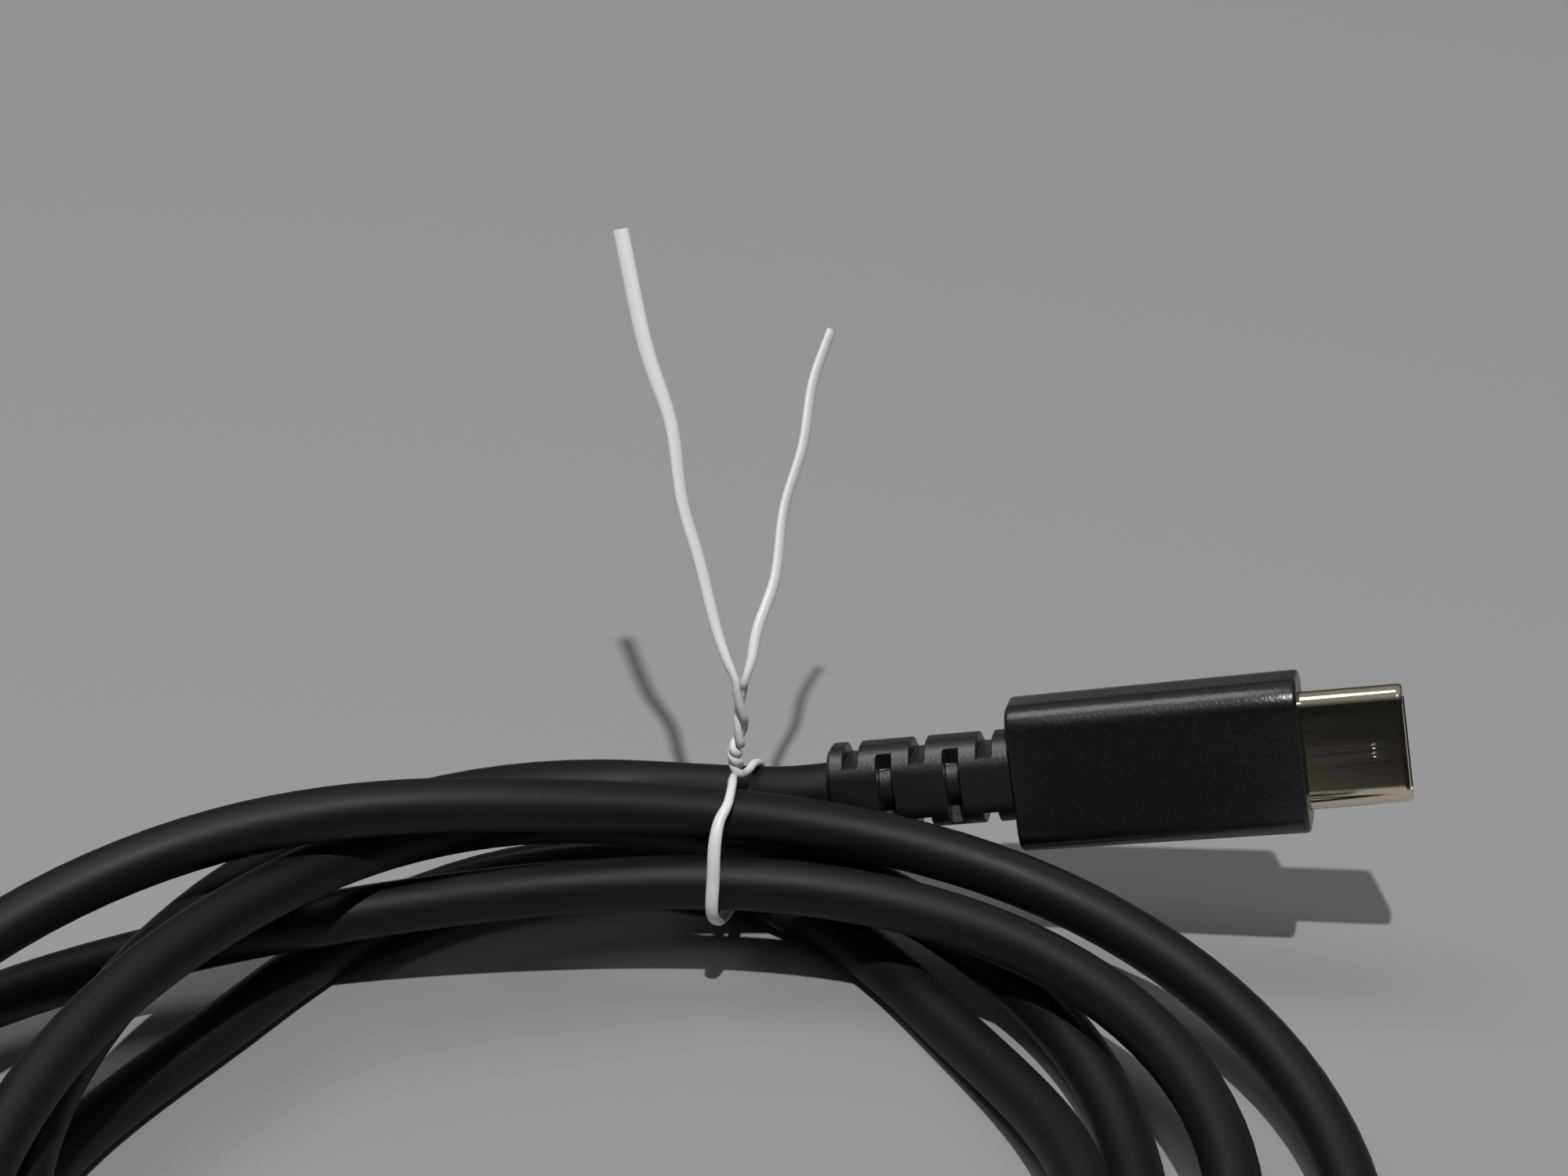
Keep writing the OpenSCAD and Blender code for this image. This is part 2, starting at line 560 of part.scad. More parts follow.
// ---------------------------------------------------------------- USB-A plug, laid along x
a_wire_ends = [for (i = [0:3]) [a_wire_end, a_contact_y[i] * a_wire_share, (i % 2 == 0 ? 1 : -1) * wire_spread]];
a_jacket_end = a_crimp_x + crimp_len;

module in_a_plug() {
    translate(a_exit) children();
}
module usb_a_shell() {
    color([0.74, 0.75, 0.77]) in_a_plug() difference() {
        bar(a_block_x[0], a_tip, a_shell_w, a_shell_t, a_shell_r);
        bar(a_block_x[0] - past, a_tip + past, a_shell_w - 2 * a_shell_wall, a_shell_t - 2 * a_shell_wall,
            a_shell_r - a_shell_wall);
        for (y = [-a_window_y, a_window_y]) translate([a_tip - a_window_back, y, 0])
            cube([a_window[0], a_window[1], 2 * a_shell_t], center = true);
    }
}
// The tongue: a block that fills the shell at the back, with the contacts' carrier in its upper half
module usb_a_tongue() {
    w = a_shell_w - 2 * a_shell_wall - 2 * snug;
    t = a_shell_t - 2 * a_shell_wall - 2 * snug;
    color([0.92, 0.92, 0.90]) in_a_plug() difference() {
        union() {
            block([a_block_x[0], -w / 2, -t / 2], [a_block_x[0] + a_block_len, w / 2, t / 2]);
            block([a_block_x[0], -w / 2, t / 2 - a_tongue_t], [a_block_x[1], w / 2, t / 2]);
        }
        for (y = a_contact_y) block([a_block_x[0] - past, y - a_contact_w / 2 - snug, t / 2 - a_tongue_t - past],
            [a_block_x[0] + a_block_len + snug, y + a_contact_w / 2 + snug, t / 2 - a_tongue_t]);
        for (s = [0, 1]) mirror([0, s, 0])
            block([a_block_x[0] - past, w / 2 - a_corner, -t], [a_tip, w, a_corner - t / 2]);
    }
}
// Four contacts under the tongue, the two outer ones longer
module usb_a_contacts() {
    t = a_shell_t - 2 * a_shell_wall - 2 * snug;
    z = t / 2 - a_tongue_t;
    color([0.83, 0.70, 0.38]) in_a_plug() for (y = a_contact_y) {
        end_x = a_block_x[1] - a_contact_short[abs(y) == max(a_contact_y) ? 0 : 1];
        block([a_block_x[0] - a_contact_tail, y - a_contact_w / 2, z - a_contact_t], [end_x, y + a_contact_w / 2, z]);
    }
}
module usb_a_shield_can() {
    color([0.72, 0.73, 0.75]) in_a_plug() shield_can(a_can_x, a_can_w, a_can_t, a_can_wall);
}
module usb_a_inner_mould() {
    color([0.85, 0.85, 0.82]) in_a_plug() difference() {
        bar(a_can_x[0], a_can_x[0] + mould_len, a_can_w - 2 * a_can_wall, a_can_t - 2 * a_can_wall,
            can_edge_r - a_can_wall);
        wires(a_jacket_end, a_wire_ends, 2 * snug);
    }
}
module usb_a_wires() {
    color([0.12, 0.35, 0.15]) in_a_plug() wires(a_jacket_end, a_wire_ends);
}
module usb_a_crimp_ring() {
    color([0.72, 0.66, 0.50]) in_a_plug() crimp_ring(a_crimp_x);
}
module usb_a_jacket_end() {
    color([0.05, 0.05, 0.055]) in_a_plug() rod(0, a_jacket_end, cable_d);
}
module usb_a_body() {
    color([0.09, 0.09, 0.10]) in_a_plug() difference() {
        moulded_body(a_back, a_front, a_body_w, a_body_t, 0, a_body_r, a_body_end_r);
        bar(a_can_x[0], a_can_x[1], a_can_w, a_can_t, can_edge_r);
        rod(a_crimp_x, a_can_x[0] + snug, cable_d + 2 * crimp_wall);
        rod(a_back - past, a_crimp_x + snug, cable_d);
        bar(a_can_x[1] - past, a_front + past, a_shell_w, a_shell_t, a_shell_r);
    }
}
module usb_a_strain_relief() {
    color([0.08, 0.08, 0.09]) in_a_plug() strain_relief();
}

cable_coil();
cable_lead_usb_c();
cable_lead_usb_a();
twist_tie_jacket();
twist_tie_core();
usb_c_shell();
usb_c_insulator();
usb_c_contacts_upper();
usb_c_contacts_lower();
usb_c_latch_spring();
usb_c_ground_springs();
usb_c_card();
usb_c_resistor();
usb_c_shield_can();
usb_c_inner_mould();
usb_c_wires();
usb_c_crimp_ring();
usb_c_jacket_end();
usb_c_body();
usb_c_strain_relief();
usb_a_shell();
usb_a_tongue();
usb_a_contacts();
usb_a_shield_can();
usb_a_inner_mould();
usb_a_wires();
usb_a_crimp_ring();
usb_a_jacket_end();
usb_a_body();
usb_a_strain_relief();
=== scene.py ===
# %% [markdown]
# # A charging cable, coiled and held by a twist tie
# A thin black cable lies in four and a bit loops, with an oval plug on one end and a flat square plug
# on the other. The CAD model gives every size and place. This script dresses it: it rebuilds the pieces
# that show, with rounder edges and finer detail, and gives every piece a finish made of shader nodes.

# %% Load the CAD frame
import math

import bmesh
import bpy
from mathutils import Matrix, Vector


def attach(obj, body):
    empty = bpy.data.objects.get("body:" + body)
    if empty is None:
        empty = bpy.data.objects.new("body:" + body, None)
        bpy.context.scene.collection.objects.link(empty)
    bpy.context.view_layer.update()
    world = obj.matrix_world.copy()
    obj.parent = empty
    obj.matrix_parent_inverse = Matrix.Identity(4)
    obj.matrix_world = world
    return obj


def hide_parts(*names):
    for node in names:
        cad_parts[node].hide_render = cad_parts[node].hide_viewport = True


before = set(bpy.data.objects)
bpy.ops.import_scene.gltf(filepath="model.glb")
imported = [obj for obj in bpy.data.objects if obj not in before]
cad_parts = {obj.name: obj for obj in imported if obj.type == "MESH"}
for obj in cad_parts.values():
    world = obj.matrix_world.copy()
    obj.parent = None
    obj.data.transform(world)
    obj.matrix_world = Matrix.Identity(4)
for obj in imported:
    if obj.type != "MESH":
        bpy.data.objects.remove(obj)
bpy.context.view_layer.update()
MM = 0.001

# %% [markdown]
# ## The camera
# A long lens a quarter of a metre away looks down at 32 degrees from in front of the loops. An
# orthographic view would be simpler, but a real lens shows near loops a little thicker than far ones.
# The camera comes first, because what it sees decides how far the unseen part of the cable may spread.

# %% Place the camera
CAMERA_AT = Vector((15.4, -191.5, 166.8)) * MM
CAMERA_TILT = math.radians(58.2)
LENS_MM, SENSOR_MM = 90, 36
NEAREST, FARTHEST = 0.01, 10

camera = bpy.data.objects.new("camera", bpy.data.cameras.new("camera"))
camera.data.lens, camera.data.sensor_width = LENS_MM, SENSOR_MM
camera.data.clip_start, camera.data.clip_end = NEAREST, FARTHEST
camera.location = CAMERA_AT
camera.rotation_euler = (CAMERA_TILT, 0, 0)
bpy.context.scene.collection.objects.link(camera)
bpy.context.scene.camera = camera
print("camera at", [round(x, 4) for x in CAMERA_AT])

# %% [markdown]
# ## The cable's route
# A coil by hand is never a true circle, and no two of its loops are alike. It could be drawn point by
# point, but then every point would be a chance of a kink. So each loop is told by its reach from the
# coil's centre in eight directions, and by its height there. A B-spline eases from one number to the
# next, which bends a line as softly as a cable bends.

# %% Follow the coil
CABLE_D = 3.7
REST_CUT = 0.37  # how far the jacket is pressed flat where it rests
COIL_TURNS, COIL_STRETCH, DIRECTIONS = 4.38, 1.15, 8
COIL_CENTRE, COIL_START = (2.4, -0.8), 90
LOOP_REACH = [
    *(40.5, 39, 30, 30, 31.5, 27.5, 29, 28),
    *(25.5, 43, 25.5, 32, 35, 34.5, 32.5, 30),
    *(34, 34.5, 26, 29, 40, 40, 36.5, 36.5),
    *(32, 24.5, 31.5, 52.5, 55, 49, 42.5, 44),
    *(39, 25, 29.5, 44.5, 48.5, 44, 42.5, 41),
]
LOOP_HEIGHT = [
    *(3.5, 10, 11, 5.5, 4, 1.5, 4, 5),
    *(1, 3.5, 1, 2, 1.5, 1.5, 1.5, 1),
    *(3.5, 10.5, 12.5, 11.5, 4.5, 1.5, 1.5, 6.5),
    *(8.5, 9, 5, 3.5, 1.5, 1.5, 1.5, 1.5),
    *(8.5, 14.5, 17.5, 9, 3, 1.5, 2, 2),
]


def eased(row, at):
    """The value of a row of numbers at a place between two of them, on a uniform cubic B-spline."""
    i = math.floor(at)
    f = at - i
    weights = ((1 - f) ** 3, 3 * f**3 - 6 * f**2 + 4, 3 * f + 3 * f**2 - 3 * f**3 + 1, f**3)
    return sum(w * row[i + k] for k, w in enumerate(weights)) / 6


def coil_point(turn):
    """The middle of the cable after a number of turns, in millimetres."""
    bearing = math.radians(COIL_START + 360 * turn)
    reach = eased(LOOP_REACH, DIRECTIONS * turn)
    height = max(eased(LOOP_HEIGHT, DIRECTIONS * turn), CABLE_D / 2) - REST_CUT
    x = COIL_CENTRE[0] + COIL_STRETCH * reach * math.cos(bearing)
    return Vector((x, COIL_CENTRE[1] + reach * math.sin(bearing), height))


STEPS_PER_TURN = 120
steps = round(COIL_TURNS * STEPS_PER_TURN)
coil = [coil_point(COIL_TURNS * i / steps) for i in range(steps + 1)]
print("coil:", len(coil), "points,", round(sum((b - a).length for a, b in zip(coil, coil[1:]))), "mm")

# %% [markdown]
# ## The two leads
# A lead joins each end of the coil to a plug. It passes through a few chosen points on a curve that
# touches every one of them. Each lead leaves its plug straight, as it does in the plug's mould, and is
# told which way the coil heads where the two meet, so that the joint has no kink.

# %% Turn the plugs into place
C_EXIT = Vector((18.97, 34, 10.5))
C_TURN = [math.radians(a) for a in (73.2, -10.7, -7.6)]
A_EXIT = Vector((-4.6, -44.3, 8.7))


def turned(angles, place):
    """The matrix that turns a piece about x, y and z in that order, and then moves it."""
    turns = [Matrix.Rotation(angle, 4, axis) for angle, axis in zip(angles, "XYZ")]
    return Matrix.Translation(place) @ turns[2] @ turns[1] @ turns[0]


IN_C_PLUG = turned(C_TURN, C_EXIT)
IN_A_PLUG = turned((0, 0, 0), A_EXIT)
c_axis = IN_C_PLUG.to_3x3() @ Vector((1, 0, 0))
print("the oval plug points along", [round(x, 3) for x in c_axis])

# %% Join the coil to both plugs
A_BIT = 0.001  # of a turn, to see which way the coil heads
LEAD_C_MIDDLE, LEAD_C_BETWEEN = Vector((11.3, 35.55, 9.2)), 8
LEAD_A_MIDDLES, LEAD_A_BETWEEN = [(-27, -40.4, 3.4), (-20.4, -43, 4.6), (-13.6, -44.1, 7.1)], 6


def smooth(points, between, before=None, after=None):
    """
    Points on a smooth curve through the given ones, with a number of steps from each to the next. The
    curve can be told which point comes before it or after it, where it goes on from another curve.
    """
    ends = [before or 2 * points[0] - points[1], *points, after or 2 * points[-1] - points[-2]]
    made = []
    for p, q, r, s in zip(ends, ends[1:], ends[2:], ends[3:]):
        for f in (k / between for k in range(between)):
            bend = (2 * p - 5 * q + 4 * r - s) * f**2 + (3 * q - p - 3 * r + s) * f**3
            made.append((2 * q + (r - p) * f + bend) / 2)
    return [*made, points[-1].copy()]


coil_in_way = (coil_point(A_BIT) - coil_point(0)).normalized()
onward = 2 * (coil[0] - LEAD_C_MIDDLE).length * coil_in_way
lead_c = [C_EXIT, C_EXIT - CABLE_D * c_axis, LEAD_C_MIDDLE, coil[0]]
lead_c = smooth(lead_c, LEAD_C_BETWEEN, after=LEAD_C_MIDDLE + onward)

coil_out_way = (coil_point(COIL_TURNS + A_BIT) - coil_point(COIL_TURNS - A_BIT)).normalized()
lead_a = [coil[-1] + CABLE_D * coil_out_way, *map(Vector, LEAD_A_MIDDLES)]
lead_a += [A_EXIT - Vector((CABLE_D, 0, 0)), A_EXIT]
lead_a = smooth(lead_a, LEAD_A_BETWEEN, before=coil[-1])

route = [p * MM for p in [*lead_c[:-1], *coil, *lead_a]]
route_length = sum((b - a).length for a, b in zip(route, route[1:]))
print("cable:", len(route), "points,", round(route_length, 3), "m")

# %% [markdown]
# ## The cable
# The jacket is a soft plastic tube. It could be a circle carried along the route ring by ring, but a
# curve with a round bevel does that by itself. The curve is made a mesh, because a mesh can then be
# pressed flat where it rests, as the soft jacket is.

# %% Make the tube
JACKET_ROUNDNESS = 8  # bevel steps per quarter of the jacket's circumference


def tube_mesh(points, diameter, name):
    """A round tube along points, as a mesh."""
    curve = bpy.data.curves.new(name, "CURVE")
    curve.dimensions, curve.bevel_mode = "3D", "ROUND"
    curve.bevel_depth, curve.bevel_resolution, curve.use_fill_caps = diameter / 2, JACKET_ROUNDNESS, True
    spline = curve.splines.new("POLY")
    spline.points.add(len(points) - 1)
    for spot, point in zip(spline.points, points):
        spot.co = (*point, 1)
    holder = bpy.data.objects.new(name, curve)
    mesh = bpy.data.meshes.new_from_object(holder)
    bpy.data.objects.remove(holder)
    bpy.data.curves.remove(curve)
    mesh.shade_smooth()
    return mesh


cable_mesh = tube_mesh(route, CABLE_D * MM, "cable")
pressed = [vertex for vertex in cable_mesh.vertices if vertex.co.z < 0]
for vertex in pressed:
    vertex.co.z = 0
cable = bpy.data.objects.new("cable", cable_mesh)
bpy.context.scene.collection.objects.link(cable)
print("cable:", len(cable_mesh.polygons), "faces,", len(pressed), "vertices pressed flat on the ground")

# %% [markdown]
# ## How the plugs' pieces are made
# The plugs' pieces are long and round-cornered, and change along their length. They could be boxes with
# bevelled edges, but a bevel can't also narrow, roll in and turn through a hole. So they are lofts:
# sections strung along the cable's way, like beads on a line. Each section is a rectangle with round
# corners, which can be as round as a circle or as square as a card. `extrude_edge_only` carries a ring
# of edges to the next section, so neighbours always share their corners and the skin has no gaps.

# %% Draw a section
CORNER_STEPS = 10
NOT_QUITE_ROUND = 0.01  # taken off the radius of a full round, so that no two points of a section meet


def rounded(width, thick, radius, at_x, flat_steps=1):
    """A ring of points at one place along x: a rectangle with round corners, seen along the cable."""
    ring = []
    corners = [(1, 1, 0), (-1, 1, 90), (-1, -1, 180), (1, -1, 270)]
    for side, up, start in corners:
        centre_y, centre_z = side * (width / 2 - radius), up * (thick / 2 - radius)
        for k in range(CORNER_STEPS + 1):
            a = math.radians(start + 90 * k / CORNER_STEPS)
            ring.append(Vector((at_x, centre_y + radius * math.cos(a), centre_z + radius * math.sin(a))))
        along_y, along_z = (-side if side == up else 0), (-up if side != up else 0)
        run = Vector((0, along_y * (width - 2 * radius), along_z * (thick - 2 * radius)))
        ring += [ring[-1] + run * k / flat_steps for k in range(1, flat_steps)]
    return ring


def cable_ring(at_x, flat_steps):
    """A section that fits the round cable."""
    return rounded(CABLE_D, CABLE_D, CABLE_D / 2 - NOT_QUITE_ROUND, at_x, flat_steps)


print("a section has", len(rounded(2, 1, 0.4, 0)), "points, and more with steps on its flats")

# %% Loft a skin and make it a piece
SAME_SPOT = 1e-7


def in_order(bm):
    """Sorts a skin's elements by their vertices' spots. Extruding and merging leave them in any order."""
    spot = bm.verts.layers.int["spot"]
    more = 1 + max(vertex[spot] for vertex in bm.verts)

    def first_corners(element):
        a, b, *rest = sorted(vertex[spot] for vertex in element.verts)
        return (a * more + b) * more + (rest[0] if rest else 0)

    bm.verts.sort(key=lambda vertex: vertex[spot])
    bm.edges.sort(key=first_corners)
    bm.faces.sort(key=first_corners)


def loft(rings, place, closed=True):
    """A bmesh skin through rings of equally many points, in millimetres, put in place in metres."""
    bm = bmesh.new()
    spot = bm.verts.layers.int.new("spot")
    ring = [bm.verts.new(point) for point in rings[0]]
    for k, vertex in enumerate(ring):
        vertex[spot] = k
    edges = [bm.edges.new((a, b)) for a, b in zip(ring, ring[1:] + ring[:1])]
    if closed:
        bmesh.ops.contextual_create(bm, geom=edges)
    for points in rings[1:]:
        made = bmesh.ops.extrude_edge_only(bm, edges=edges)["geom"]
        edges = [e for e in made if isinstance(e, bmesh.types.BMEdge)]
        for vertex in (v for v in made if isinstance(v, bmesh.types.BMVert)):
            vertex.co = points[vertex[spot] % len(points)]
            vertex[spot] += len(points)
    if closed:
        bmesh.ops.contextual_create(bm, geom=edges)
    in_order(bm)
    bmesh.ops.transform(bm, matrix=Matrix.Scale(MM, 4) @ place, verts=bm.verts)
    bmesh.ops.recalc_face_normals(bm, faces=bm.faces)
    return bm


def loft_sheet(rings, place):
    """A skin that runs out along a sheet's outside, back along its inside, and joins its own start."""
    bm = loft([*rings, rings[0]], place, closed=False)
    bmesh.ops.remove_doubles(bm, verts=bm.verts, dist=SAME_SPOT)
    bmesh.ops.recalc_face_normals(bm, faces=bm.faces)
    return bm


def declare(made, replaced):
    """Puts a piece on the part's one body, in place of CAD nodes."""
    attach(made, "root")
    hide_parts(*replaced)
    print(made.name, len(made.data.polygons), "faces")


def piece(bm, name, replaced, smooth_below=40):
    """Turns a bmesh into a smoothly shaded piece, whose edges stay sharp above an angle in degrees."""
    mesh = bpy.data.meshes.new(name)
    bm.to_mesh(mesh)
    bm.free()
    mesh.shade_smooth()
    mesh.set_sharp_from_angle(angle=math.radians(smooth_below))
    made = bpy.data.objects.new(name, mesh)
    bpy.context.scene.collection.objects.link(made)
    declare(made, replaced)
    return made


# %% [markdown]
# ## The flat oval plug's shell
# The shell is drawn from one sheet, so it has no seam, and its mouth is rolled in at the front to guide
# it into a socket. A Solidify modifier could give a plain tube its wall, but it couldn't roll the
# mouth. So the rings run out along the outside, round the mouth and back in along the inside. The flats
# have many steps: a wide flat face that shares its corners with a round side would shade as if it were
# curved.

# %% Loft the oval shell
RELIEF_LEN, C_BODY_LEN, C_SHELL_OUT = 12.8, 20.0, 6.95
C_SHELL, C_SHELL_WALL, C_SHELL_BACK, C_SHELL_FLAT_STEPS = (8.34, 2.4), 0.25, 5, 14
MOUTH_ROLL, MOUTH_IN, MOUTH_STEPS, MOUTH_EDGE = 0.42, 0.9, 8, 0.08
c_front = RELIEF_LEN + C_BODY_LEN
c_tip = c_front + C_SHELL_OUT


def c_shell_ring(by, at_x):
    """The oval shell's section, drawn in by a distance all round."""
    radius = C_SHELL[1] / 2 - NOT_QUITE_ROUND - by
    return rounded(C_SHELL[0] - 2 * by, C_SHELL[1] - 2 * by, radius, at_x, C_SHELL_FLAT_STEPS)


c_rings = [c_shell_ring(0, c_front - C_SHELL_BACK), c_shell_ring(0, c_tip - MOUTH_ROLL)]
for k in range(1, MOUTH_STEPS + 1):
    a = math.radians(90 * k / MOUTH_STEPS)
    inward = C_SHELL_WALL * MOUTH_IN * (1 - math.cos(a))
    c_rings.append(c_shell_ring(inward, c_tip - MOUTH_ROLL * (1 - math.sin(a))))
c_rings.append(c_shell_ring(C_SHELL_WALL, c_tip - MOUTH_EDGE))
c_rings.append(c_shell_ring(C_SHELL_WALL, c_front - C_SHELL_BACK))
c_shell = piece(loft_sheet(c_rings, IN_C_PLUG), "oval_shell", ["usb_c_shell"])

# %% [markdown]
# ## The oval shell's dimples
# Each wide face has two small round dimples, punched into the sheet. A bump in the finish could draw
# them, but a real hollow keeps its glint from every side. So four balls, large enough to dip only a
# little below the faces, are cut out with a boolean.

# %% Write the cut
CUT_SHARP = 30


def cut_with(made, cutter_bm):
    """Cuts a bmesh's shapes out of a piece, and keeps the result as the piece's own mesh."""
    mesh = bpy.data.meshes.new("cutter")
    cutter_bm.to_mesh(mesh)
    cutter_bm.free()
    cutter = bpy.data.objects.new("cutter", mesh)
    bpy.context.scene.collection.objects.link(cutter)
    cut = made.modifiers.new("cut", "BOOLEAN")
    cut.object, cut.solver = cutter, "EXACT"
    seen = made.evaluated_get(bpy.context.evaluated_depsgraph_get())
    result = bpy.data.meshes.new_from_object(seen)
    result.set_sharp_from_angle(angle=math.radians(CUT_SHARP))
    made.modifiers.clear()
    made.data = result
    bpy.data.objects.remove(cutter)
    bpy.data.meshes.remove(mesh)
    print(made.name, "after its cuts:", len(result.polygons), "faces")


# %% Punch the dimples
DIMPLE_D, DIMPLE_DEPTH, DIMPLE_BACK, DIMPLE_Y, BALL_FINENESS = 0.42, 0.09, 2.2, 0.3, 3
dimple_r = ((DIMPLE_D / 2) ** 2 + DIMPLE_DEPTH**2) / (2 * DIMPLE_DEPTH)
dimples_bm = bmesh.new()
for y in (-DIMPLE_Y, DIMPLE_Y):
    for face in (-1, 1):
        z = face * (C_SHELL[1] / 2 + dimple_r - DIMPLE_DEPTH)
        where = Matrix.Scale(MM, 4) @ IN_C_PLUG @ Matrix.Translation((c_tip - DIMPLE_BACK, y, z))
        bmesh.ops.create_icosphere(dimples_bm, subdivisions=BALL_FINENESS, radius=dimple_r, matrix=where)
cut_with(c_shell, dimples_bm)

# %% [markdown]
# ## The moulded bodies
# Each body is moulded over the plug's back in one shot of black plastic, with soft edges and a fine
# sparked grain. A bevelled box would be as quick, but its back has to close on the cable and its front
# on the shell. So the rings start inside the hole for the shell, turn out over the front, run down the
# body, which narrows a little, and turn in again to the cable.

# %% Draw a body
RIM_STEPS, FACE_STEPS, LENGTH_STEPS = 4, 6, 6
HOLE_DEPTH, HOLE_EDGE, HOLE_EASE, HOLE_ROOM = 4, 0.12, 0.1, 0.04


def body_rings(back, front, size, back_size, radius, rim, hole, hole_radius):
    """Rings of a body from the hole in its front, over its skin, to the cable at its back."""
    (width, thick), (back_width, back_thick) = size, back_size

    def skin(x, by):
        f = (x - back) / (front - back)
        w, t = back_width + f * (width - back_width), back_thick + f * (thick - back_thick)
        return rounded(w - 2 * by, t - 2 * by, radius - by, x, FACE_STEPS)

    quarter = [math.radians(90 * k / RIM_STEPS) for k in range(RIM_STEPS + 1)]
    rings = [rounded(*hole, hole_radius, front - x, FACE_STEPS) for x in (HOLE_DEPTH, HOLE_EDGE)]
    eased_hole = [side + 2 * HOLE_EASE for side in hole]
    rings.append(rounded(*eased_hole, hole_radius + HOLE_EASE, front, FACE_STEPS))
    rings += [skin(front - rim * (1 - math.cos(a)), rim * (1 - math.sin(a))) for a in quarter]
    rings += [skin(front + (back - front) * k / LENGTH_STEPS, 0) for k in range(1, LENGTH_STEPS)]
    rings += [skin(back + rim * (1 - math.sin(a)), rim * (1 - math.cos(a))) for a in quarter]
    rings.append(cable_ring(back, FACE_STEPS))
    return rings


print("a body's ring has", len(rounded(*C_SHELL, 1, 0, FACE_STEPS)), "points")

# %% Loft both bodies
C_BODY = {"size": (10.85, 5.75), "back_size": (10.4, 5.525), "radius": 1.75, "rim": 0.32}
A_BODY = {"size": (16, 8), "back_size": (16, 8), "radius": 1.8, "rim": 0.5}
A_BODY_LEN, A_SHELL_OUT = 22, 12
A_SHELL, A_SHELL_WALL, A_SHELL_BACK, FOLD_R = (12, 4.5), 0.3, 5.4, 0.5
a_front = RELIEF_LEN + A_BODY_LEN
a_tip = a_front + A_SHELL_OUT

hole = (C_SHELL[0] + HOLE_ROOM, C_SHELL[1] + HOLE_ROOM)
rings = body_rings(RELIEF_LEN, c_front, **C_BODY, hole=hole, hole_radius=hole[1] / 2 - NOT_QUITE_ROUND)
c_body = piece(loft(rings, IN_C_PLUG), "oval_plug_body", ["usb_c_body"])
hole = (A_SHELL[0] + HOLE_ROOM, A_SHELL[1] + HOLE_ROOM)
rings = body_rings(RELIEF_LEN, a_front, **A_BODY, hole=hole, hole_radius=FOLD_R)
a_body = piece(loft(rings, IN_A_PLUG), "square_plug_body", ["usb_a_body"])

# %% [markdown]
# ## The strain reliefs
# A relief is a soft sleeve round the cable, cut through in turn on its two edges and on its two faces,
# so that it bends a little at each cut and never sharply. Between two cuts stands a full ring. A cut on
# the edges leaves a web on each face, and a cut on the faces shows the cable between two webs. Booleans
# could make the cuts, but rings are surer: each section is drawn by how far it reaches in each
# direction, which keeps the rings alike however they are cut.

# %% Draw a section of the sleeve
RELIEF_W, RELIEF_T, RELIEF_R, RELIEF_FLAT_STEPS = 6.2, 5.1, 2.14, 8
SLOT_DEPTH, WEB_WIDE, WEB_THICK, CORE_D = 1.05, 0.5, 3.4, 3.78


def relief_section(at_x, kind, shrink=0.0):
    """A section of the sleeve: full, cut on its edges, or cut on its faces down to the cable."""
    width, thick = RELIEF_W - 2 * shrink, RELIEF_T - 2 * shrink
    ring = rounded(width, thick, RELIEF_R - shrink, at_x, RELIEF_FLAT_STEPS)
    for point in ring:
        across = math.hypot(point.y, point.z)
        if kind == "edges":
            reach = across * min(1, (width / 2 - SLOT_DEPTH) / max(abs(point.y), 1e-6))
        elif kind == "faces":
            reach = across * min(1, WEB_THICK / 2 / max(abs(point.z), 1e-6))
            if abs(point.y) * reach / across < width / 2 - WEB_WIDE:
                reach = CORE_D / 2
        else:
            reach = across
        point.y, point.z = point.y * reach / across, point.z * reach / across
    return ring


print("a sleeve's ring has", len(relief_section(0, "full")), "points")

# %% Loft both reliefs
SLOTS, SLOT_W = 5, 1.05
PITCHES, FIRST_SLOT = 5.45, 0.72  # the sleeve's length and its first slot's place, both in pitches
RELIEF_END, MERGE_BELOW, RELIEF_SHARP = 0.25, 0.002, 35
EDGE_R, EDGE_STEPS, EDGE_ABOVE = 0.07, 2, 50
slot_pitch = RELIEF_LEN / PITCHES

relief_rings = [cable_ring(0, RELIEF_FLAT_STEPS)]
relief_rings += [relief_section(0, "full", RELIEF_END), relief_section(RELIEF_END, "full")]
for i in range(SLOTS):
    x, kind = slot_pitch * (i + FIRST_SLOT), "edges" if i % 2 == 0 else "faces"
    low, high = x - SLOT_W / 2, x + SLOT_W / 2
    relief_rings += [relief_section(low, "full"), relief_section(low, kind)]
    relief_rings += [relief_section(high, kind), relief_section(high, "full")]
relief_rings.append(relief_section(RELIEF_LEN, "full"))


def relief(name, place, node):
    """A sleeve whose cut edges are softened by a small bevel."""
    bm = loft(relief_rings, place)
    bmesh.ops.remove_doubles(bm, verts=bm.verts, dist=MERGE_BELOW * MM)
    bmesh.ops.dissolve_degenerate(bm, edges=bm.edges, dist=MERGE_BELOW * MM)
    in_order(bm)
    bmesh.ops.recalc_face_normals(bm, faces=bm.faces)
    made = piece(bm, name, [node], RELIEF_SHARP)
    soften = made.modifiers.new("soft edges", "BEVEL")
    soften.width, soften.segments, soften.limit_method = EDGE_R * MM, EDGE_STEPS, "ANGLE"
    soften.angle_limit = math.radians(EDGE_ABOVE)
    return made


c_relief = relief("oval_plug_relief", IN_C_PLUG, "usb_c_strain_relief")
a_relief = relief("square_plug_relief", IN_A_PLUG, "usb_a_strain_relief")

